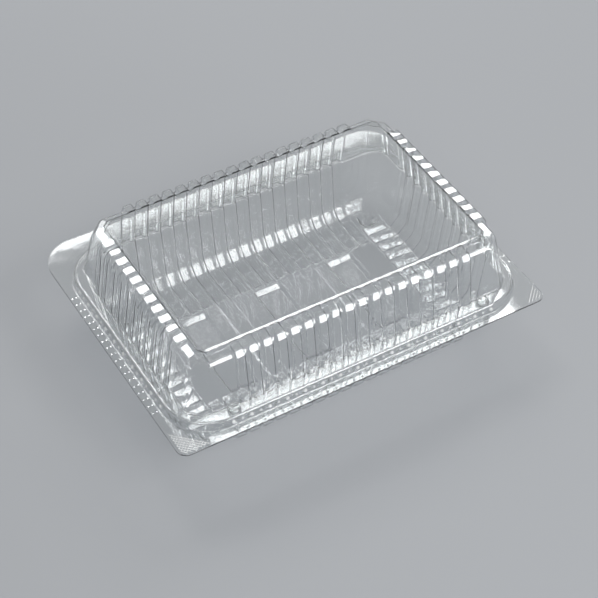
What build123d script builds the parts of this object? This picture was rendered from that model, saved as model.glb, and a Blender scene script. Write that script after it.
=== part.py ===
from build123d import *
import math
import os

# A clear food pack, thermoformed from one sheet: a ribbed tray and a ribbed lid that share a
# flange and fold together along a living hinge on the back long edge. Millimetres, +Z up, X along
# the hinge, Y from the opening tabs to the hinge. The pack stands closed on its pads at Z = 0.

# Sheet and fits
SHEET = 0.4  # wall of the formed sheet
RIM_GAP = 0.3  # play between the nested rims of lid and tray
CUT = 2.0  # how far cavities run past the faces that they open

# Flange, seen from above
LENGTH = 200.0  # along the hinge
WIDTH = 153.1  # from the tabs to the hinge fold
FLANGE = 4.7  # flat margin at the front and the two ends
HINGE_FLANGE = 13.3  # flat margin at the hinge
TAB_RADIUS = 5.0  # front corners, left nearly square as finger tabs
HINGE_RADIUS = 17.0  # back corners

# Snap rim: a skirt that rises from the flange to a ledge
RIM_RADIUS = 23.8  # corner of the skirt's foot
RIM_HEIGHT = 5.0
RIM_RUN = 1.0  # how far the skirt leans in
LEDGE = 7.3  # from the skirt to the foot of the lid's wall
STUD_RADIUS = 3.2  # snap studs on the front ledge
STUD_HEIGHT = 2.2
STUD_CLEAR = 1.3  # from the last rib to a stud

# Lid, heights above the flange and runs inwards from the wall's foot
LID_HEIGHT = 35.0  # top panel
WALL_RUN = 3.5
ROUND_RUN = 1.6  # bevel between wall and shoulder
ROUND_RISE = 2.5
SHOULDER_RUN = 3.9
SHOULDER_RISE = 0.3
STEP_RUN = 1.0  # step up to the panel
STEP_RISE = 2.8

# Tray, depths below the flange and runs inwards from the wall's top
TRAY_DEPTH = 30.0  # to the pads
PAD_DEPTH = 2.2  # how far the pads stand below the floor
TRAY_WALL_RUN = 3.2
HEEL_RUN = 5.0  # slope between wall and floor
HEEL_RISE = 5.2

# Flats across the corners of lid and tray: length along each wall
FOOT_FLAT = 5.6  # at the foot of the lid's wall and the top of the tray's
WALL_FLAT = 7.1  # at the top of the lid's wall
SHOULDER_FLAT = 6.5
STEP_FLAT = 5.5
PANEL_FLAT = 2.2
HEEL_FLAT = 6.5  # along the tray's heel

# Ribs on every side of lid and tray
RIB_PITCH = 7.14
RIB_CROWN = 3.85  # width of the flat crown
RIB_FLANK = 0.8  # width of each sloping side
LID_RIB_HEIGHT = 2.0  # how far a crown stands off the lid
TRAY_RIB_HEIGHT = 1.3
RIB_MARGIN = 4.0  # least plain wall between a corner and the first rib
RIB_ROOT = 1.2  # how deep a rib's flanks run into the body
FLOOR_RIB_END = 29.0  # where the long sides' floor ribs stop, from the middle of the tray
END_RIB_RUN = 14.0  # length of the ends' floor ribs

# Tray floor
PAD_WIDTH = 15.0
PAD_LENGTH = 54.0
PAD_SPACING = 6  # between pad centres, in rib pitches
PAD_COUNT = 3
PAD_END_RUN = 2.7  # slope at each end of a pad
PAD_SIDE_RUN = 0.7

# Places that follow from the sizes above
CORE_X = LENGTH / 2 - FLANGE - RIM_RADIUS  # corner centres
CORE_Y = (WIDTH - FLANGE - HINGE_FLANGE) / 2 - RIM_RADIUS
BODY_Y = (FLANGE - HINGE_FLANGE) / 2  # the body's middle lies towards the tabs
FLANGE_Z = TRAY_DEPTH  # plane where the two flanges meet

SKIRT_TOP = RIM_RADIUS - RIM_RUN
WALL_FOOT = SKIRT_TOP - LEDGE
WALL_TOP = WALL_FOOT - WALL_RUN
SHOULDER = WALL_TOP - ROUND_RUN
STEP = SHOULDER - SHOULDER_RUN
PANEL = STEP - STEP_RUN
STEP_Z = LID_HEIGHT - STEP_RISE
SHOULDER_Z = STEP_Z - SHOULDER_RISE
WALL_TOP_Z = SHOULDER_Z - ROUND_RISE
LID_SKIRT = [(RIM_RADIUS, 0), (SKIRT_TOP, RIM_HEIGHT), (WALL_FOOT, RIM_HEIGHT)]
LID_DOME = [
    (WALL_FOOT, RIM_HEIGHT),
    (WALL_TOP, WALL_TOP_Z),
    (SHOULDER, SHOULDER_Z),
    (STEP, STEP_Z),
    (PANEL, LID_HEIGHT),
    (0, LID_HEIGHT),
]
LID_FLATS = [FOOT_FLAT, WALL_FLAT, SHOULDER_FLAT, STEP_FLAT, PANEL_FLAT]
FLOOR = PAD_DEPTH - TRAY_DEPTH  # underside of the floor
HEEL_TOP = WALL_FOOT - TRAY_WALL_RUN
HEEL_FOOT = HEEL_TOP - HEEL_RUN
TRAY_BOWL = [
    (WALL_FOOT, RIM_HEIGHT),
    (HEEL_TOP, FLOOR + HEEL_RISE),
    (HEEL_FOOT, FLOOR),
    (0, FLOOR),
]
TRAY_FLATS = [FOOT_FLAT, HEEL_FLAT, HEEL_FLAT]
FLAT_CHANGE = 2 - math.sqrt(2)  # a flat's growth when it moves out as far as its two walls


def meeting(a, b):
    """The point where two lines of a profile cross."""
    (s0, z0), (s1, z1) = a
    (s2, z2), (s3, z3) = b
    cross = (s1 - s0) * (z3 - z2) - (z1 - z0) * (s3 - s2)
    t = ((s2 - s0) * (z3 - z2) - (z2 - z0) * (s3 - s2)) / cross
    return (s0 + t * (s1 - s0), z0 + t * (z1 - z0))


def beside(profile, gap):
    """The profile moved to the left of its run by gap, with mitred corners."""
    lines = []
    for (s0, z0), (s1, z1) in zip(profile, profile[1:]):
        run = math.hypot(s1 - s0, z1 - z0)
        ds = -(z1 - z0) / run * gap
        dz = (s1 - s0) / run * gap
        lines.append(((s0 + ds, z0 + dz), (s1 + ds, z1 + dz)))
    corners = [meeting(a, b) for a, b in zip(lines, lines[1:])]
    return [lines[0][0], *corners, lines[-1][1]]


def from_level(profile, z):
    """The profile with its open end slid along its first line to height z."""
    return [meeting(profile[:2], ((0, z), (1, z))), *profile[1:]]


def to_offset(profile, s):
    """The profile with its inner end slid along its last line to offset s."""
    return [*profile[:-1], meeting(profile[-2:], ((s, 0), (s, 1)))]


def rim(profile):
    """Solid inside a skirt, given by its foot and its top as (offset, height), with round corners."""
    (foot, z0), (top, z1) = profile[:2]
    outline = RectangleRounded(2 * (CORE_X + foot), 2 * (CORE_Y + foot), foot)
    lean = math.degrees(math.atan2(foot - top, z1 - z0))
    return extrude(Pos(0, BODY_Y, FLANGE_Z + z0) * outline, z1 - z0, taper=lean)


def skin(loops):
    """Solid with flat sides between loops of points, closed by the first and the last loop."""
    faces = [loops[0], loops[-1]]
    for near, far in zip(loops, loops[1:]):
        for k in range(len(near)):
            after = (k + 1) % len(near)
            faces.append([near[k], near[after], far[after], far[k]])
    return Solid(Shell([Face(Wire.make_polygon(loop)) for loop in faces]))


def plug(profile, flats, gap, z):
    """Solid inside a profile of (offset, height) moved aside by gap, with flats across its corners.

    It starts at height z and is closed across the profile's last level.
    """
    moved = beside(profile, gap)
    legs = [leg + FLAT_CHANGE * (s1 - s0) for leg, (s0, _), (s1, _) in zip(flats, profile, moved)]
    legs[0] += (legs[1] - legs[0]) * (z - moved[0][1]) / (moved[1][1] - moved[0][1])
    loops = []
    for (offset, level), leg in zip(from_level(moved, z), legs):
        x = CORE_X + offset
        y = CORE_Y + offset
        quarter = [(x, y - leg), (x - leg, y)]
        half = quarter + [(-px, py) for px, py in reversed(quarter)]
        loops.append([(px, py, level) for px, py in half + [(-px, -py) for px, py in half]])
    return Pos(0, BODY_Y, FLANGE_Z) * skin(loops)


def rib(side, height, inset):
    """One rib across its side: a flat crown between sloping flanks, with roots in the body.

    The side runs from the rim to the rib's inner end, as (distance out, height), and the crown
    keeps one height above it. The rib lies across X, with its side facing +Y.
    """
    up = math.copysign(1, side[-1][1] - side[0][1])
    start_z = side[0][1]
    end_s = side[-1][0] + inset
    top, root = (
        to_offset(from_level(beside(side, up * depth), start_z), end_s)
        for depth in (inset - height, inset + RIB_ROOT)
    )
    half = RIB_CROWN / 2 - inset * (math.hypot(RIB_FLANK, height) - RIB_FLANK) / height
    foot = half + RIB_FLANK * (height + RIB_ROOT) / height
    deep_s = root[-2][0] - RIB_ROOT
    deep_z = root[-1][1] - up * RIB_ROOT
    back = [(end_s, deep_z), (deep_s, deep_z), (deep_s, start_z)]
    stations = ((-foot, root), (-half, top), (half, top), (foot, root))
    return skin([[(x, s, z) for s, z in line + back] for x, line in stations])


def rib_row(straight):
    """Places of the ribs along a side, measured from its middle."""
    count = int((straight - 2 * RIB_MARGIN) / RIB_PITCH)
    return [(k - (count - 1) / 2) * RIB_PITCH for k in range(count)]


def ribs(long_rib, end_rib):
    """The ribs on all four sides, from one for the long sides and one for the ends."""
    placed = []
    middle = Pos(0, BODY_Y, FLANGE_Z)
    for x in rib_row(2 * CORE_X):
        placed.append(middle * Pos(x, CORE_Y, 0) * long_rib)
        placed.append(middle * Pos(x, -CORE_Y, 0) * Rot(0, 0, 180) * long_rib)
    for y in rib_row(2 * CORE_Y):
        placed.append(middle * Pos(CORE_X, y, 0) * Rot(0, 0, -90) * end_rib)
        placed.append(middle * Pos(-CORE_X, y, 0) * Rot(0, 0, 90) * end_rib)
    return placed


def flange(z):
    """Flat flange of one sheet, with finger tabs at the front and round corners at the hinge."""
    plate = Rectangle(LENGTH, WIDTH)
    plate = fillet(plate.vertices().group_by(Axis.Y)[0], TAB_RADIUS)
    plate = fillet(plate.vertices().group_by(Axis.Y)[-1], HINGE_RADIUS)
    return Pos(0, 0, FLANGE_Z + z) * extrude(plate, SHEET)


def studs(inset):
    """Snap studs on the front ledge, one beside each end of the row of ribs."""
    x = rib_row(2 * CORE_X)[-1] + RIB_CROWN / 2 + RIB_FLANK + STUD_CLEAR + STUD_RADIUS
    y = BODY_Y - CORE_Y - (SKIRT_TOP + WALL_FOOT) / 2
    z = FLANGE_Z + RIM_HEIGHT + STUD_HEIGHT - inset
    stud = Cylinder(
        STUD_RADIUS - inset,
        STUD_HEIGHT + SHEET,
        align=(Align.CENTER, Align.CENTER, Align.MAX),
    )
    return [Pos(side * x, y, z) * stud for side in (-1, 1)]


def lid_form(inset):
    """Solid under the lid's outer face, or under its inner face when inset by the sheet."""
    root_z = RIM_HEIGHT - 2 * SHEET
    foot_z = -CUT if inset else 0
    side = to_offset(from_level(LID_DOME[:4], root_z), PANEL / 2)
    one = rib(side, LID_RIB_HEIGHT, inset)
    skirt = rim(from_level(beside(LID_SKIRT, inset), foot_z))
    dome = plug(LID_DOME, LID_FLATS, inset, root_z)
    return skirt + dome + ribs(one, one) + studs(inset)


def make_lid():
    """Lid: flange, skirt, ledge, ribbed wall and shoulder, and the raised top panel."""
    return flange(0) + lid_form(0) - lid_form(SHEET)


def pads(inset):
    """Long pads pressed down out of the tray's floor, on which the pack stands."""
    width = PAD_WIDTH - 2 * inset
    length = PAD_LENGTH - 2 * inset
    pad = loft(
        [
            Pos(0, 0, SHEET) * Rectangle(width, length),
            Rectangle(width, length),
            Pos(0, 0, -PAD_DEPTH) * Rectangle(width - 2 * PAD_SIDE_RUN, length - 2 * PAD_END_RUN),
        ],
        ruled=True,
    )
    places = [(k - (PAD_COUNT - 1) / 2) * PAD_SPACING * RIB_PITCH for k in range(PAD_COUNT)]
    return [Pos(x, BODY_Y, FLANGE_Z + FLOOR + inset) * pad for x in places]


def bowl_form(inset, top):
    """Solid inside the tray's outer face up to top, or inside its inner face when inset."""
    side = from_level(TRAY_BOWL, top)
    long_rib = rib(to_offset(side, FLOOR_RIB_END - CORE_Y), TRAY_RIB_HEIGHT, inset)
    end_rib = rib(to_offset(side, HEEL_FOOT - END_RIB_RUN), TRAY_RIB_HEIGHT, inset)
    bowl = plug(TRAY_BOWL, TRAY_FLATS, -inset, top)
    return bowl + ribs(long_rib, end_rib) + pads(inset)


def make_tray():
    """Tray: flange, skirt that nests in the lid's, ledge, ribbed bowl and pads."""
    skirt = beside(LID_SKIRT, SHEET + RIM_GAP)
    ledge = skirt[-1][1]
    hollow = from_level(beside(skirt, SHEET), -CUT)
    cap = flange(-SHEET) + rim(skirt) + studs(SHEET + RIM_GAP)
    cap -= rim(hollow)
    cap -= studs(2 * SHEET + RIM_GAP)
    return cap + bowl_form(0, ledge - SHEET / 2) - bowl_form(SHEET, ledge + CUT)


os.makedirs("parts", exist_ok=True)
export_step(make_tray(), "parts/tray.step")
export_step(make_lid(), "parts/lid.step")
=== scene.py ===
import math

import bpy
import numpy as np
from mathutils import Matrix, Vector


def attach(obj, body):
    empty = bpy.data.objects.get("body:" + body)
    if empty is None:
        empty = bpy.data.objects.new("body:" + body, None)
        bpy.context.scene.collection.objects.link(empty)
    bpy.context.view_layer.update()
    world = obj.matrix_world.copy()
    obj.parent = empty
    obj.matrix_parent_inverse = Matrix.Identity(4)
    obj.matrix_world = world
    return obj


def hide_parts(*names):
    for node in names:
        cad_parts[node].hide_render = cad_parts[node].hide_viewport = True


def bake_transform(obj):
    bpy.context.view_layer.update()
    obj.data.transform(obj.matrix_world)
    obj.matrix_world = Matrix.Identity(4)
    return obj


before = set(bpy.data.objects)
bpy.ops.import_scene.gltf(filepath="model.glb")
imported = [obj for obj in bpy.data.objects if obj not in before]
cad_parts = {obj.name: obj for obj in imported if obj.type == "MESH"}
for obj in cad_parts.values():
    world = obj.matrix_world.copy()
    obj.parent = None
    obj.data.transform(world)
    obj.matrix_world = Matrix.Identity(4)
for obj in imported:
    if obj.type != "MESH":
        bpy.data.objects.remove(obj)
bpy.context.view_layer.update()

# A clear clamshell pack. Sizes are in millimetres, as in the part's source; MM turns them to metres.
MM = 0.001
SHEET = 0.4
WALL = 0.35  # of the drawn sheet, so that lid and tray don't touch where their flanges meet
RIM_GAP = 0.3
LENGTH, WIDTH = 200.0, 153.1
FLANGE, HINGE_FLANGE = 4.7, 13.3
TAB_RADIUS, HINGE_RADIUS = 5.0, 17.0
RIM_RADIUS, RIM_HEIGHT, RIM_RUN, LEDGE = 23.8, 5.0, 1.0, 7.3
FLANGE_Z = 30.0  # plane where the two flanges meet
CORE_X = LENGTH / 2 - FLANGE - RIM_RADIUS  # corner centres
CORE_Y = (WIDTH - FLANGE - HINGE_FLANGE) / 2 - RIM_RADIUS
BODY_Y = (FLANGE - HINGE_FLANGE) / 2  # middle of the body

# Profiles run inwards: offset outside the corner centres, height above the flange. The flats are
# the corner facets, as a share of each level's offset.
SKIRT_TOP = RIM_RADIUS - RIM_RUN
WALL_FOOT = SKIRT_TOP - LEDGE
SKIRT = ((RIM_RADIUS, 0), (SKIRT_TOP, RIM_HEIGHT))
LID_WALL = [
    (WALL_FOOT, RIM_HEIGHT),
    (12.0, 29.4),  # bevel
    (10.4, 31.9),  # shoulder
    (6.5, 32.2),  # step
    (5.79, 34.2),  # brim
    (4.81, 35.0),  # panel
    (0.0, 35.0),
]
LID_FLATS = [5.6 / 15.5, 7.1 / 12.0, 6.5 / 10.4, 5.5 / 6.5, 0.45, 0.4, 0.4]
TRAY_WALL = [(WALL_FOOT, RIM_HEIGHT), (12.3, -22.6), (7.3, -27.8), (0.0, -27.8)]
TRAY_FLATS = [5.6 / 15.5, 6.5 / 12.3, 6.5 / 7.3, 6.5 / 7.3]
FLOOR_EDGE, FLOOR = TRAY_WALL[2]

# Rounding of each profile corner, from the flange inwards: radius and number of points
LID_ROUNDS = [(0.6, 4), (1.3, 6), (0.7, 4), (5.0, 6), (1.0, 4), (0.5, 4), (0.3, 3), (0.3, 3)]
TRAY_ROUNDS = [(0.8, 3), (0.9, 4), (0.7, 3), (4.5, 6), (2.4, 5)]
RIM_CORNERS = 2  # the first corners of a profile, which stay round in plan

RIB_PITCH, RIB_CROWN, RIB_FLANK = 7.14, 4.1, 0.75
RIB_SOFT = 0.1  # rounding of a rib's edges
RIB_STEPS = np.array([1.95, 2.25, 2.6, 2.9])  # from a rib's middle: crown's edge, flank, flank's foot
LONG_RIBS, END_RIBS = 18, 11
LID_RIB, TRAY_RIB = 2.0, 1.3  # heights
LONG_RIB_END = 29.0  # where the long sides' floor ribs stop, from the tray's middle
END_RIB_RUN, END_RIB_FADE = 14.0, 0.6  # length of the ends' floor ribs, and how far they fade inwards
RIB_TIP = 0.8  # slope at a floor rib's inner end
MARGIN_STEPS, CORNER_STEPS, TAB_STEPS = 10, 42, 9  # of the grid: beside the ribs, in corners, at tabs

PAD_DEPTH, PAD_WIDTH, PAD_LENGTH = 2.2, 15.0, 54.0
PAD_PLACES = np.array([-42.84, 0.0, 42.84])
PAD_SIDE_RUN, PAD_END_RUN = 0.7, 2.7
DISC_RADIUS, DISC_DEPTH, DISC_LIP, DISC_FALL = 4.4, 1.6, 0.4, 0.9  # the fall starts a lip outside
GROOVES = np.array([-28.5, -19.3, -10.2, 10.2, 19.3, 28.5])
GROOVE_DEPTH, GROOVE_WIDTH, GROOVE_EDGE = 0.12, 0.4, 0.5
GROOVE_GAP, GROOVE_FADE = 1.0, 1.5  # from a groove's end to the ribs, and its fading stretch
FLOOR_STEPS = np.array([6.0, 5.6, 5.2, 4.8, 4.4, 3.0, 0.0])  # of the floor's margin, close at the discs

STUD_RADIUS, STUD_HEIGHT, STUD_ROUND, STUD_X = 3.2, 2.2, 1.4, 67.92
STUD_SIDES = 28
DOT_PITCH, DOT_RISE = 4.7, 0.6  # the rise is a share of a bump's radius
FRONT_DOTS, END_DOTS = 31, 19
SNAP_Z, SNAP_RADII = 2.6, (0.7, 1.05)
PAIR_ROWS, PAIR_RADIUS = (1.5, 3.5), 0.62  # rows of bumps outside the skirt's foot
DOT_SINK, PAIR_SINK = 0.05, 0.04  # how far bumps and lines start inside the sheet
GRIP_MARGIN, GRIP_RADIUS, GRIP_START, GRIP_DEPTH = 1.8, 0.2, 3.6, 12.0
GRIP_PITCH, GRIP_LINES = 1.3, 8  # crossed lines of the left tab, to each side of its diagonal
STRIPE_PITCH, STRIPES = 1.4, 4  # right tab
FOLD_REACH, FOLD_HOLLOW, FOLD_SINK = 0.06, 0.02, 0.02
FOLD_BORE = 0.8  # the hollow's share of the fold's height
FOLD_STEPS, FOLD_LENGTHS = 9, 60

# The photograph's camera: azimuth, elevation and roll, the middle of the flanges as it sees it, and
# its focal length and picture width in pixels
PHOTO_TURN = (-31.07, 45.10, -0.61)
PHOTO_MIDDLE = (-4.98, -11.79, 850.86)
PHOTO_FOCUS, PHOTO_WIDTH = 1735.4, 598
SENSOR = 36


def smooth(t):
    """Smooth step: 3t^2 - 2t^3 with t held between 0 and 1."""
    t = np.clip(t, 0, 1)
    return t * t * (3 - 2 * t)


def rib_shape(along, count):
    """Share of a rib's height at each place along a side.

    The distance to the nearest rib's middle goes through a smooth step that falls from the crown's
    edge to the flank's foot.
    """
    k = np.clip(np.round(along / RIB_PITCH + (count - 1) / 2), 0, count - 1)
    away = np.abs(along - (k - (count - 1) / 2) * RIB_PITCH)
    return 1 - smooth((away - RIB_CROWN / 2 + RIB_SOFT) / (RIB_FLANK + 2 * RIB_SOFT))


def side_places(core, count, marks):
    """Places along a side: steps at every rib's flanks, a plain margin at each end, and marks."""
    steps = np.concatenate([-RIB_STEPS[::-1], RIB_STEPS])
    middles = (np.arange(count) - (count - 1) / 2) * RIB_PITCH
    ribs = (middles[:, None] + steps).ravel()
    margin = np.linspace(ribs[-1], core, MARGIN_STEPS + 1)[1:]
    return np.unique(np.round(np.concatenate([-margin, ribs, margin, *marks]), 4))


# Marks on the floor's grid, so that grooves, pads and the ribs' ends keep their edges
groove_marks = (GROOVES[:, None] + (-GROOVE_EDGE, 0, GROOVE_EDGE)).ravel()
pad_sides = np.array([PAD_WIDTH / 2, PAD_WIDTH / 2 - PAD_SIDE_RUN])
pad_marks = (PAD_PLACES[:, None] + np.concatenate([pad_sides, -pad_sides])).ravel()
pad_ends = np.array([PAD_LENGTH / 2, PAD_LENGTH / 2 - PAD_END_RUN])
rib_tip = np.array([0, RIB_TIP / 2, RIB_TIP])
end_rib_marks = CORE_X + FLOOR_EDGE - END_RIB_RUN + rib_tip
long_rib_marks = LONG_RIB_END + rib_tip
LONG_PLACES = side_places(CORE_X, LONG_RIBS, [groove_marks, pad_marks, end_rib_marks, -end_rib_marks])
END_PLACES = side_places(CORE_Y, END_RIBS, [long_rib_marks, -long_rib_marks, pad_ends, -pad_ends])


def flange_reach(angles, a, b, radius):
    """Distance from a corner centre to the flange's edge at each angle.

    The edge is a right-angled corner at (a, b) rounded by radius. It is sampled finely, turned to
    polar form round the corner centre and read off by angle.
    """
    count = 200  # samples of each straight stretch
    turn = np.linspace(0, math.pi / 2, 90)
    x = [np.full(count, a), a - radius + radius * np.cos(turn), np.linspace(a - radius, 0, count)]
    y = [np.linspace(0, b - radius, count), b - radius + radius * np.sin(turn), np.full(count, b)]
    x, y = np.concatenate(x), np.concatenate(y)
    return np.interp(angles, np.arctan2(y, x), np.hypot(x, y))


def perimeter():
    """Stations round the body, anticlockwise from the front left.

    Each has a point on the core rectangle, an outward direction, its reach to the flange's edge and
    its share of rib height. On a side the point moves and the direction is fixed; in a corner the
    point is fixed and the direction turns.
    """
    xs, ys = LONG_PLACES, END_PLACES
    front, back = FLANGE + RIM_RADIUS, HINGE_FLANGE + RIM_RADIUS
    even = np.radians(np.linspace(0, 90, CORNER_STEPS + 1)[1:-1])
    sides = [
        (np.stack([xs, np.full_like(xs, -CORE_Y)], 1), (0, -1), front, rib_shape(xs, LONG_RIBS)),
        (np.stack([np.full_like(ys, CORE_X), ys], 1), (1, 0), front, rib_shape(ys, END_RIBS)),
        (np.stack([xs[::-1], np.full_like(xs, CORE_Y)], 1), (0, 1), back, rib_shape(xs[::-1], LONG_RIBS)),
        (np.stack([np.full_like(ys, -CORE_X), ys[::-1]], 1), (-1, 0), front, rib_shape(ys[::-1], END_RIBS)),
    ]
    points, out, reach, ribs = [], [], [], []
    for k, (line, way, far, rib) in enumerate(sides):
        points.append(line)
        out.append(np.tile(np.array(way, float), (len(line), 1)))
        reach.append(np.full(len(line), far))
        ribs.append(rib)
        at_back = k in (1, 2)
        radius, b = (HINGE_RADIUS, back) if at_back else (TAB_RADIUS, front)
        low, high = math.atan2(b - radius, front), math.atan2(b, front - radius)
        turn = np.unique(np.round(np.concatenate([even, np.linspace(low, high, TAB_STEPS)]), 5))
        if k in (0, 2):  # from a long side to an end
            turn = math.pi / 2 - turn[::-1]
        first = math.radians(-90 + 90 * k)
        way = np.stack([np.cos(first + turn), np.sin(first + turn)], 1)
        points.append(np.tile(line[-1], (len(turn), 1)))
        out.append(way)
        reach.append(flange_reach(np.arctan2(np.abs(way[:, 1]), np.abs(way[:, 0])), front, b, radius))
        ribs.append(np.zeros(len(turn)))
    return tuple(np.concatenate(x) for x in (points, out, reach, ribs))


def level(height):
    """A level line of a profile, by two points of it, running inwards."""
    return ((20, height), (10, height))


def meeting(a, b):
    """The point where two lines of a profile cross, each given by two points."""
    (s0, z0), (s1, z1) = a
    (s2, z2), (s3, z3) = b
    cross = (s1 - s0) * (z3 - z2) - (z1 - z0) * (s3 - s2)
    t = ((s2 - s0) * (z3 - z2) - (z2 - z0) * (s3 - s2)) / cross
    return (s0 + t * (s1 - s0), z0 + t * (z1 - z0))


def shifted(line, gap):
    """A profile line moved to the left of its run by gap."""
    (s0, z0), (s1, z1) = line
    run = math.hypot(s1 - s0, z1 - z0)
    ds, dz = -(z1 - z0) / run * gap, (s1 - s0) / run * gap
    return ((s0 + ds, z0 + dz), (s1 + ds, z1 + dz))


def corners_of(lines):
    """Corners of a profile: where each line crosses the next."""
    return np.array([meeting(a, b) for a, b in zip(lines, lines[1:])])


def rounded(corners, start, end, rounds):
    """Rounding of a profile, as offsets from its corners.

    At each corner the points lie on the circle of the given radius that touches both lines, spread
    evenly over the turn. The result is the corner's number and the offset for every point.
    """
    line = np.vstack([start, corners, end])
    owner, offset = [], []
    for k, (radius, count) in enumerate(rounds):
        d1 = line[k + 1] - line[k]
        d2 = line[k + 2] - line[k + 1]
        d1, d2 = d1 / np.linalg.norm(d1), d2 / np.linalg.norm(d2)
        turn = math.atan2(d1[0] * d2[1] - d1[1] * d2[0], d1 @ d2)
        side = math.copysign(1, turn)
        normal = side * np.array([-d1[1], d1[0]])
        centre = -d1 * radius * math.tan(abs(turn) / 2) + normal * radius
        phi = np.linspace(0, turn, count)
        x = np.sin(phi) * normal[1] - np.cos(phi) * normal[0]
        y = -np.sin(phi) * normal[0] - np.cos(phi) * normal[1]
        owner += [k] * count
        offset.append(centre + radius * np.stack([x, y], 1))
    return np.array(owner), np.concatenate(offset)


def corner_flat(out, share):
    """Distance from a corner centre to a body's outline, as a share of the outline's offset.

    A ray in direction (x, y) meets the two walls at 1/x and 1/y and the flat between them at
    (2 - share)/(x + y). The least of the three counts, taken through a high power so that the edges
    of the flat are a little round.
    """
    power = 80
    x, y = np.abs(out[:, :1]), np.abs(out[:, 1:])
    return (x**power + y**power + ((x + y) / (2 - share)) ** power) ** (-1 / power)


def swept(stations, base, raised, rounding, height, edge_z, walls):
    """Grid of points: the rounded profile carried round the perimeter.

    Every profile corner slides from its base place to its raised place in step with the rib height,
    and takes its rounding along. Past the rim, the body's corners are flats. The first column is
    the flange's edge.
    """
    points, out, reach, ribs = stations
    owner, offset = rounding
    lift = (ribs * height)[:, None, None]
    profile = base[owner] + offset + lift * (raised - base)[owner]
    levels, flats = walls
    share = np.interp(-(base[owner] + offset)[:, 0], [-s for s, _ in levels], flats)
    away = profile[..., 0] * np.where(owner < RIM_CORNERS, 1, corner_flat(out, share))
    away = np.concatenate([reach[:, None], away], 1)
    up = np.concatenate([np.full((len(reach), 1), edge_z), profile[..., 1]], 1)
    return np.concatenate([points[:, None] + away[..., None] * out[:, None], up[..., None]], 2)


def grid_faces(rows, columns, closed):
    """Quads of a grid of points numbered row by row, with the last row joined to the first if closed."""
    number = np.arange(rows * columns).reshape(rows, columns)
    after = np.roll(number, -1, 0) if closed else number[1:]
    here = number if closed else number[:-1]
    return np.stack([here[:, :-1], after[:, :-1], after[:, 1:], here[:, 1:]], -1).reshape(-1, 4)


def triangles(quads):
    """Two triangles for every quad."""
    return np.concatenate([quads[:, [0, 1, 2]], quads[:, [0, 2, 3]]])


def repeated(points, faces):
    """One mesh of many alike ones, from the points of each and the faces of the first."""
    step = np.arange(len(points))[:, None, None] * points.shape[1]
    return points.reshape(-1, 3), (step + faces).reshape(-1, 3)


def welded(points, faces):
    """Points merged where they coincide to a thousandth of a millimetre, and the faces that keep area."""
    _, first, number = np.unique(np.round(points, 3), axis=0, return_index=True, return_inverse=True)
    faces = number.ravel()[faces]
    full = (faces[:, 0] != faces[:, 1]) & (faces[:, 1] != faces[:, 2]) & (faces[:, 2] != faces[:, 0])
    return points[first], faces[full]


def open_edges(faces):
    """Directed edges that only one triangle uses."""
    edges = np.concatenate([faces[:, [0, 1]], faces[:, [1, 2]], faces[:, [2, 0]]])
    size = faces.max() + 1
    key, back = edges[:, 0] * size + edges[:, 1], edges[:, 1] * size + edges[:, 0]
    return edges[~np.isin(key, back)]


def thickened(points, faces):
    """A closed sheet: the face, a copy moved inwards by the sheet's wall, and a strip along the edge.

    The inward way at a point is against the mean of its faces' normals, weighted by the square of
    their areas. The same means are the shading normals, so that flats stay flat between narrow rounds.
    """
    corner = points[faces]
    flat = np.cross(corner[:, 1] - corner[:, 0], corner[:, 2] - corner[:, 0])
    flat *= np.linalg.norm(flat, axis=1, keepdims=True)
    normal = np.zeros_like(points)
    for k in range(3):
        np.add.at(normal, faces[:, k], flat)
    normal /= np.linalg.norm(normal, axis=1, keepdims=True)
    count = len(points)
    a, b = open_edges(faces).T
    strip = np.concatenate([np.stack([b, a, a + count], 1), np.stack([b, a + count, b + count], 1)])
    side = np.cross(points[b] - points[a], normal[a])
    side = np.tile(side / np.linalg.norm(side, axis=1, keepdims=True), (2, 1))
    bent = np.concatenate([normal[faces], -normal[faces[:, ::-1]], np.repeat(side[:, None], 3, 1)])
    both = np.vstack([points, points - WALL * normal])
    return both, np.vstack([faces, faces[:, ::-1] + count, strip]), bent


def piece(name, points, faces, material, body=None, bent=None, sharp=50):
    """Mesh object from points in millimetres about the body's middle.

    It is shaded by the given normals of its face corners, or else smooth up to an angle.
    """
    mesh = bpy.data.meshes.new(name)
    placed = (np.asarray(points, float) + (0, BODY_Y, FLANGE_Z)) * MM
    mesh.from_pydata(placed.tolist(), [], np.asarray(faces).tolist())
    mesh.polygons.foreach_set("use_smooth", np.ones(len(mesh.polygons), bool))
    mesh.materials.append(material)
    mesh.update()
    if bent is None:
        mesh.set_sharp_from_angle(angle=math.radians(sharp))
    else:
        mesh.normals_split_custom_set(bent.reshape(-1, 3).tolist())
    made = bpy.data.objects.new(name, mesh)
    made.visible_diffuse = False  # the table's light reaches it through the sheet
    bpy.context.scene.collection.objects.link(made)
    if body:
        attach(made, body)
    return made


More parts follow.
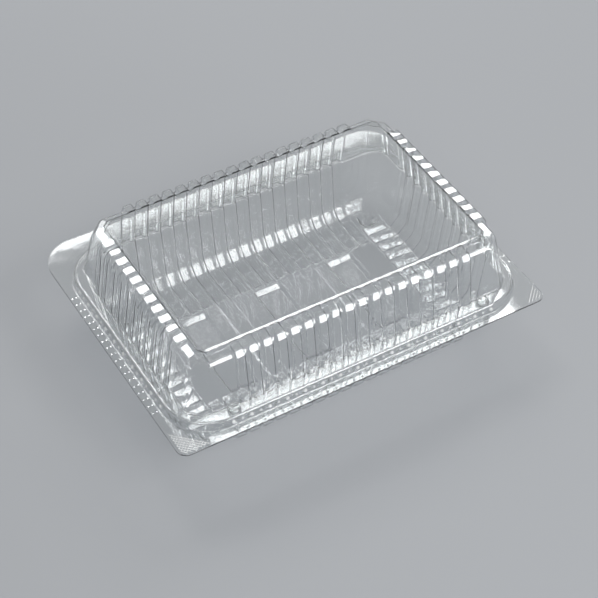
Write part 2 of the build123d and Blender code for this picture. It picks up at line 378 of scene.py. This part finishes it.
def lid_sheet(stations):
    """Points and faces of the lid: flange, skirt, ledge, ribbed wall and shoulder, top panel.

    The profile carried round the perimeter ends on the core rectangle, which a fan fills.
    """
    wall, bevel, shoulder, step, brim, panel = zip(LID_WALL, LID_WALL[1:])

    def corners(height):
        raised = [shifted(line, -height) for line in (wall, bevel, shoulder)]
        return corners_of([level(SHEET), SKIRT, level(RIM_HEIGHT), *raised, step, brim, panel])

    base = corners(0)
    rounding = rounded(base, (RIM_RADIUS + FLANGE, SHEET), LID_WALL[-1], LID_ROUNDS)
    grid = swept(stations, base, corners(1), rounding, LID_RIB, SHEET, (LID_WALL, LID_FLATS))
    middle = np.concatenate([stations[0], grid[:, -1, 2:]], 1)
    grid = np.concatenate([grid, middle[:, None]], 1)
    rows, columns = grid.shape[:2]
    ring = np.arange(rows) * columns + columns - 1
    points = np.vstack([grid.reshape(-1, 3), [[0, 0, LID_WALL[-1][1]]]])
    fan = np.stack([ring, np.roll(ring, -1), np.full(rows, rows * columns)], 1)
    return welded(points, np.vstack([triangles(grid_faces(rows, columns, True)), fan]))


def floor_depth(x, y):
    """How far the tray's floor is pressed down at (x, y): ribs, pads, corner discs and shallow grooves.

    Ribs keep the side's shape up to their ends. A pad is the lesser of two ramps, one from its sides
    and one from its ends. A disc falls off round its corner centre. A groove is a bell of its own width.
    """
    long_rib = rib_shape(x, LONG_RIBS) * smooth((np.abs(y) - LONG_RIB_END) / RIB_TIP)
    inwards = CORE_X + FLOOR_EDGE - np.abs(x)
    slope = 1 - END_RIB_FADE * np.clip(inwards / END_RIB_RUN, 0, 1)
    end_rib = rib_shape(y, END_RIBS) * slope * smooth((END_RIB_RUN - inwards) / RIB_TIP)
    depth = TRAY_RIB * np.maximum(long_rib, end_rib)
    for place in PAD_PLACES:
        side = (PAD_WIDTH / 2 - np.abs(x - place)) / PAD_SIDE_RUN
        end = (PAD_LENGTH / 2 - np.abs(y)) / PAD_END_RUN
        depth = np.maximum(depth, PAD_DEPTH * np.clip(np.minimum(side, end), 0, 1))
    away = np.hypot(np.abs(x) - CORE_X, np.abs(y) - CORE_Y)
    depth = np.maximum(depth, DISC_DEPTH * smooth((DISC_RADIUS + DISC_LIP - away) / DISC_FALL))
    fade = smooth((LONG_RIB_END - GROOVE_GAP - np.abs(y)) / GROOVE_FADE)
    for place in GROOVES:
        bell = np.exp(-(((x - place) / GROOVE_WIDTH) ** 2)) * fade
        depth = np.maximum(depth, GROOVE_DEPTH * bell)
    return depth


def tray_sheet(stations):
    """Points and faces of the tray's underside: flange, skirt, ledge, ribbed wall, heel and floor.

    The sides are the profile carried round the perimeter as far as the core rectangle. The floor
    within is a grid on the same places along both sides, so the two share their points.
    """
    gap = 2 * SHEET + RIM_GAP
    rim = [level(-SHEET), shifted(SKIRT, gap), level(RIM_HEIGHT - gap)]
    walls = list(zip(TRAY_WALL, TRAY_WALL[1:]))  # wall, heel and floor

    def corners(height):
        return corners_of([*rim, *(shifted(line, height) for line in walls)])

    base = corners(0)
    rounding = rounded(base, (RIM_RADIUS + FLANGE, -SHEET), TRAY_WALL[-1], TRAY_ROUNDS)
    sides = swept(stations, base, corners(1), rounding, TRAY_RIB, -SHEET, (TRAY_WALL, TRAY_FLATS))
    points, out = stations[:2]
    away = FLOOR_STEPS * corner_flat(out, TRAY_FLATS[-1])
    strip = points[:, None] + away[..., None] * out[:, None]
    strip = np.concatenate([strip, FLOOR - floor_depth(strip[..., :1], strip[..., 1:])], 2)
    x, y = np.meshgrid(LONG_PLACES, END_PLACES, indexing="ij")
    middle = np.stack([x, y, FLOOR - floor_depth(x, y)], -1)
    ring = np.concatenate([sides, strip], 1)
    faces = triangles(grid_faces(*ring.shape[:2], True))
    inner = triangles(grid_faces(*middle.shape[:2], False)) + ring.shape[0] * ring.shape[1]
    points, faces = welded(np.vstack([ring.reshape(-1, 3), middle.reshape(-1, 3)]), np.vstack([faces, inner]))
    return points, faces[:, ::-1]


def turned_cup(profile, count):
    """Closed thin cup: a profile of (radius, height) turned about Z, with its ends on the axis."""
    turn = np.linspace(0, 2 * math.pi, count, endpoint=False)
    r, z = np.array(profile).T
    points = np.stack([np.cos(turn)[:, None] * r, np.sin(turn)[:, None] * r, np.tile(z, (count, 1))], -1)
    faces = triangles(grid_faces(count, len(profile), True))
    return welded(points.reshape(-1, 3), faces)


def stud(radius, height):
    """Profile of a snap stud: outer face from the ledge up to the middle, and back along the inner face.

    Both faces turn over the stud's rounded edge along a quarter circle.
    """
    a = np.linspace(0, math.pi / 2, 7)
    r, z = radius - STUD_ROUND + STUD_ROUND * np.cos(a), height - STUD_ROUND + STUD_ROUND * np.sin(a)
    outer = [(radius, 0), *zip(r, z), (0, height)]
    under = list(zip(r - SHEET * np.cos(a), z - SHEET * np.sin(a)))
    inner = [(0, height - SHEET), *under[::-1], (radius - SHEET, 0)]
    return outer + inner + [outer[0]]


def dots(centres, normals, radii):
    """Small round bumps: half ellipsoids that stand on a face, with a flat underside.

    Rings of points shrink by the cosine of the latitude and rise by its sine times the height. Each
    bump's last two points are its top and the middle of its underside.
    """
    sides = 8
    lat = np.radians([0, 35, 65])
    across = np.cross(normals, (0.3, 0.5, 0.8))
    across /= np.linalg.norm(across, axis=1, keepdims=True)
    along = np.cross(normals, across)
    turn = np.linspace(0, 2 * math.pi, sides, endpoint=False)
    ring = np.cos(turn)[:, None] * across[:, None] + np.sin(turn)[:, None] * along[:, None]
    rise = DOT_RISE * radii[:, None] * normals
    rim = radii[:, None, None, None] * np.cos(lat)[:, None] * ring[:, :, None]
    body = centres[:, None, None] + rim + np.sin(lat)[:, None] * rise[:, None, None]
    body = body.reshape(len(centres), -1, 3)
    points = np.concatenate([body, (centres + rise)[:, None], centres[:, None]], 1)
    low = np.arange(sides) * len(lat)
    high = low + len(lat) - 1
    cap = np.stack([high, np.roll(high, -1), np.full(sides, sides * len(lat))], 1)
    base = np.stack([np.roll(low, -1), low, np.full(sides, sides * len(lat) + 1)], 1)
    return repeated(points, np.vstack([triangles(grid_faces(sides, len(lat), True)), cap, base]))


def ridges(starts, ends, radius):
    """Fine raised lines on a level face: half circles carried from start to end, sunk at both tips."""
    way = (ends - starts) / np.linalg.norm(ends - starts, axis=1, keepdims=True)
    side = np.stack([way[:, 1], -way[:, 0], np.zeros(len(way))], 1)
    turn = np.linspace(0, math.pi, 6)
    section = np.cos(turn)[:, None] * side[:, None] + np.sin(turn)[:, None] * np.array([0, 0, 1.0])
    places = np.stack([starts, starts + radius * way, ends - radius * way, ends], 1)
    size = radius * np.array([0.05, 1, 1, 0.05])
    points = places[:, None] + size[:, None] * section[:, :, None]
    k = np.arange(1, len(turn) - 1)
    tip = np.stack([0 * k, k, k + 1], 1) * len(size)
    long_faces = triangles(grid_faces(len(turn), len(size), True))[:, ::-1]
    faces = np.vstack([long_faces, tip, tip[:, ::-1] + len(size) - 1])
    return repeated(points.reshape(len(starts), -1, 3), faces)


def fold_sheet():
    """Points and faces of the hinge fold: a half round of the sheet, hollow on its inner side.

    The section goes up an outer half ellipse and down a flatter inner one. It is carried along the
    straight stretch of the back edge and capped at both ends.
    """
    turn = np.linspace(-math.pi / 2, math.pi / 2, FOLD_STEPS)
    outer = np.stack([FOLD_REACH * np.cos(turn), SHEET * np.sin(turn)], 1)
    inner = np.stack([FOLD_HOLLOW * np.cos(turn), FOLD_BORE * SHEET * np.sin(turn)], 1)
    section = np.concatenate([outer, inner[::-1]])
    half = LENGTH / 2 - HINGE_RADIUS
    points = np.empty((len(section), FOLD_LENGTHS, 3))
    points[..., 0] = np.linspace(-half, half, FOLD_LENGTHS)
    points[..., 1] = WIDTH / 2 - BODY_Y - FOLD_SINK + section[:, :1]
    points[..., 2] = section[:, 1:]
    k = np.arange(FOLD_STEPS - 1)
    last = len(section) - 1
    cap = np.stack([k, last - k, last - 1 - k, k + 1], 1) * FOLD_LENGTHS
    quads = np.vstack([grid_faces(*points.shape[:2], True), cap, cap[:, ::-1] + FOLD_LENGTHS - 1])
    return points.reshape(-1, 3), triangles(quads)


def paint(code):
    """Linear colour from an sRGB hex code."""
    value = np.array([int(code[k : k + 2], 16) for k in (1, 3, 5)]) / 255
    linear = np.where(value <= 0.04045, value / 12.92, ((value + 0.055) / 1.055) ** 2.4)
    return (*linear, 1)


def add(tree, kind, inputs):
    """A node of a kind. Each input, by name or number, gets a value or a link from an output."""
    node = tree.nodes.new(kind)
    for key, value in inputs.items():
        if isinstance(value, bpy.types.NodeSocket):
            tree.links.new(value, node.inputs[key])
        else:
            node.inputs[key].default_value = value
    return node


def bare_material(name):
    """A material with an empty node tree, and that tree."""
    material = bpy.data.materials.new(name)
    material.use_nodes = True
    material.node_tree.nodes.clear()
    return material, material.node_tree


def clear_sheet(name, clearness, roughness):
    """Polystyrene sheet, drawn hot into a polished mould: colourless and glassy, with faint waves.

    Lamps shine straight through it, as through any thin clear sheet, and lose a little at each face.
    Where the mould stamps small pins and lines into it, it whitens and turns a little matt.
    """
    material, tree = bare_material(name)
    place = add(tree, "ShaderNodeTexCoord", {})
    wave = 9 * MM  # length of the waves that drawing leaves
    spread = {"Vector": place.outputs["Object"], "Scale": 1 / wave, "Detail": 1.0}
    waves = add(tree, "ShaderNodeTexNoise", spread)
    swell = {"Height": waves.outputs["Fac"], "Strength": 0.06, "Distance": 0.25 * MM}
    bump = add(tree, "ShaderNodeBump", swell)
    surface = {
        "Base Color": paint("#fbfcfc"),
        "Transmission Weight": clearness,
        "Roughness": roughness,
        "IOR": 1.57,
        "Normal": bump.outputs["Normal"],
    }
    glassy = add(tree, "ShaderNodeBsdfPrincipled", surface)
    through = add(tree, "ShaderNodeBsdfTransparent", {"Color": paint("#eff0f1")})
    rays = add(tree, "ShaderNodeLightPath", {})
    share = {"Fac": rays.outputs["Is Shadow Ray"], 1: glassy.outputs["BSDF"], 2: through.outputs["BSDF"]}
    either = add(tree, "ShaderNodeMixShader", share)
    add(tree, "ShaderNodeOutputMaterial", {"Surface": either.outputs["Shader"]})
    return material


def table_top():
    """Laminate pressed with a matt face: an even pale grey that shows no mirror image."""
    material, tree = bare_material("matt grey laminate")
    surface = add(tree, "ShaderNodeBsdfPrincipled", {"Base Color": paint("#abaeb2"), "Roughness": 0.7})
    add(tree, "ShaderNodeOutputMaterial", {"Surface": surface.outputs["BSDF"]})
    return material


plastic = clear_sheet("clear polystyrene sheet", 1.0, 0.03)
stamped = clear_sheet("stamped polystyrene", 0.5, 0.2)

# The two formed halves
stations = perimeter()
points, faces, bent = thickened(*lid_sheet(stations))
lid = piece("lid_formed_sheet", points, faces, plastic, "lid", bent)
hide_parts("lid")
points, faces, bent = thickened(*tray_sheet(stations))
tray = piece("tray_formed_sheet", points, faces, plastic, "tray", bent)
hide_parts("tray")

# Snap studs on the front ledge, those of the tray inside those of the lid
stud_y = -CORE_Y - (SKIRT_TOP + WALL_FOOT) / 2
for name, body, inset in (("lid_studs", "lid", 0), ("tray_studs", "tray", SHEET + RIM_GAP)):
    points, faces = turned_cup(stud(STUD_RADIUS - inset, STUD_HEIGHT), STUD_SIDES)
    places = np.array([(side * STUD_X, stud_y, RIM_HEIGHT - inset) for side in (-1, 1)])
    piece(name, *repeated(places[:, None] + points, faces), plastic, body)

# Sides with rows of bumps, the front and both ends: places along it, its distance and its turn
along_front = (np.arange(FRONT_DOTS) - FRONT_DOTS // 2) * DOT_PITCH
along_end = (np.arange(END_DOTS) - END_DOTS // 2) * DOT_PITCH
dotted_sides = ((along_front, CORE_Y, -90), (along_end, CORE_X, 0), (along_end, CORE_X, 180))


def dot_row(offset, height):
    """Places of a row of bumps at an offset from the corner centres, and the way out at each.

    On each side the row is a line at its distance in front of the middle, turned about Z.
    """
    places, ways = [], []
    for line, far, turn in dotted_sides:
        c, s = math.cos(math.radians(turn)), math.sin(math.radians(turn))
        out = far + offset
        places.append(np.stack([c * out - s * line, s * out + c * line, np.full_like(line, height)], 1))
        ways.append(np.tile((c, s, 0.0), (len(line), 1)))
    return np.concatenate(places), np.concatenate(ways)


# Snap bumps along the skirt, large and small by turns, square to its lean
places, ways = dot_row(RIM_RADIUS - RIM_RUN * SNAP_Z / RIM_HEIGHT - DOT_SINK, SNAP_Z)
ways = (RIM_HEIGHT * ways + (0, 0, RIM_RUN)) / math.hypot(RIM_HEIGHT, RIM_RUN)
sizes = np.where(np.arange(len(places)) % 2, *SNAP_RADII)
piece("lid_snap_bumps", *dots(places, ways, sizes), stamped, "lid", sharp=80)

# Pairs of small bumps along the flange
places = np.concatenate([dot_row(RIM_RADIUS + row, SHEET - PAIR_SINK)[0] for row in PAIR_ROWS])
ways = np.tile((0.0, 0.0, 1.0), (len(places), 1))
sizes = np.full(len(places), PAIR_RADIUS)
piece("lid_flange_bumps", *dots(places, ways, sizes), plastic, "lid", sharp=80)


def tab_lines(side, depths, offsets):
    """Ends of straight lines on a front tab, from depths along its diagonal and offsets across it.

    Depths are measured from the tab's corner, and both are turned by 45 degrees to the tab's edges.
    """
    diagonal = math.sqrt(0.5)
    x = side * (LENGTH / 2 - diagonal * (depths + offsets))
    y = -WIDTH / 2 - BODY_Y + diagonal * (depths - offsets)
    return np.stack([x, y, np.full_like(x, SHEET - DOT_SINK)], -1)


# Grip lines on the front tabs: a few stripes across the right tab's corner, and a close crossed
# pattern over the left tab
stripes = GRIP_START + STRIPE_PITCH * np.arange(STRIPES)
half = stripes - GRIP_MARGIN
grip = ridges(tab_lines(1, stripes, -half), tab_lines(1, stripes, half), GRIP_RADIUS)
piece("lid_right_grip", *grip, stamped, "lid", sharp=80)
rows = np.arange(GRIP_START, GRIP_DEPTH, GRIP_PITCH)
half = rows - GRIP_MARGIN
lines = np.arange(-GRIP_LINES, GRIP_LINES + 1) * GRIP_PITCH
first = np.maximum(np.abs(lines) + GRIP_MARGIN, rows[0])
starts = np.concatenate([tab_lines(-1, rows, -half), tab_lines(-1, first, lines)])
ends = np.concatenate([tab_lines(-1, rows, half), tab_lines(-1, np.full_like(lines, GRIP_DEPTH), lines)])
piece("lid_left_grip", *ridges(starts, ends, GRIP_RADIUS), stamped, "lid", sharp=80)

# Hinge fold along the straight stretch of the back edge
hinge = piece("hinge_fold", *fold_sheet(), plastic, sharp=80)
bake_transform(hinge)

# Table, a hair under the pads
table = bpy.data.meshes.new("table")
reach, table_z = 3000 * MM, -0.3 * MM
corners = [(x * reach, y * reach, table_z) for x, y in ((-1, -1), (1, -1), (1, 1), (-1, 1))]
table.from_pydata(corners, [], [(0, 1, 2, 3)])
table.materials.append(table_top())
table = bpy.data.objects.new("table", table)
bpy.context.scene.collection.objects.link(table)


def softbox(name, centre, size, brightness, aim=None):
    """Rectangular soft light at a place in millimetres, facing down or turned to its aim."""
    light = bpy.data.lights.new(name, "AREA")
    light.shape = "RECTANGLE"
    light.size, light.size_y = size[0] * MM, size[1] * MM
    light.energy = math.pi * light.size * light.size_y * brightness
    made = bpy.data.objects.new(name, light)
    made.location = Vector(centre) * MM
    if aim:
        made.rotation_euler = (Vector(aim) - Vector(centre)).to_track_quat("-Z", "Y").to_euler()
    bpy.context.scene.collection.objects.link(made)


# Each soft light stands where the faces that it is there for mirror it to the camera
softbox("left box", (60, 890, 1030), (300, 440), 9)  # crests of the lid's ribs
softbox("right box", (985, 890, 1030), (330, 440), 9)
softbox("near strip", (520, 655, 1030), (440, 110), 6)  # front flange and ledge
softbox("far strip", (540, 1161, 1030), (760, 180), 4)  # hinge flange
softbox("front box", (421, -806, 667), (330, 170), 9, (0, 0, 30))  # back heel of the tray
softbox("low front box", (390, -1150, 330), (560, 110), 9, (0, 0, 50))  # lid's front bevel
softbox("high front box", (430, -680, 880), (460, 150), 9, (0, 0, 30))  # ends of the pads, lid's brim
softbox("fill box", (-420, -700, 800), (500, 400), 4, (0, 0, 0))

world = bpy.data.worlds.new("studio")
bpy.context.scene.world = world
world.use_nodes = True
world.node_tree.nodes["Background"].inputs["Color"].default_value = paint("#ffffff")
world.node_tree.nodes["Background"].inputs["Strength"].default_value = 0.4


def photo_camera():
    """Camera at the photograph's angle.

    Its axes come from the azimuth, elevation and roll, and its place from the middle of the flanges
    as the camera sees it, carried back along those axes.
    """
    around, above, roll = np.radians(PHOTO_TURN)
    back = np.array([np.sin(around) * np.cos(above), -np.cos(around) * np.cos(above), np.sin(above)])
    right = np.cross(-back, (0, 0, 1))
    right /= np.linalg.norm(right)
    down = np.cross(-back, right)
    right, down = np.cos(roll) * right + np.sin(roll) * down, -np.sin(roll) * right + np.cos(roll) * down
    axes = np.array([right, down, -back])
    camera = bpy.data.cameras.new("photo camera")
    camera.sensor_width = SENSOR
    camera.lens = SENSOR * PHOTO_FOCUS / PHOTO_WIDTH
    made = bpy.data.objects.new("photo camera", camera)
    turn = np.eye(4)
    turn[:3, :3] = np.array([right, -down, back]).T
    turn[:3, 3] = ((0, 0, FLANGE_Z) - axes.T @ np.array(PHOTO_MIDDLE)) * MM
    made.matrix_world = Matrix(turn.tolist())
    bpy.context.scene.collection.objects.link(made)
    bpy.context.scene.camera = made


photo_camera()
scene = bpy.context.scene
scene.view_settings.view_transform = "Standard"
scene.cycles.max_bounces = 32
scene.cycles.transmission_bounces = 32
scene.cycles.transparent_max_bounces = 32
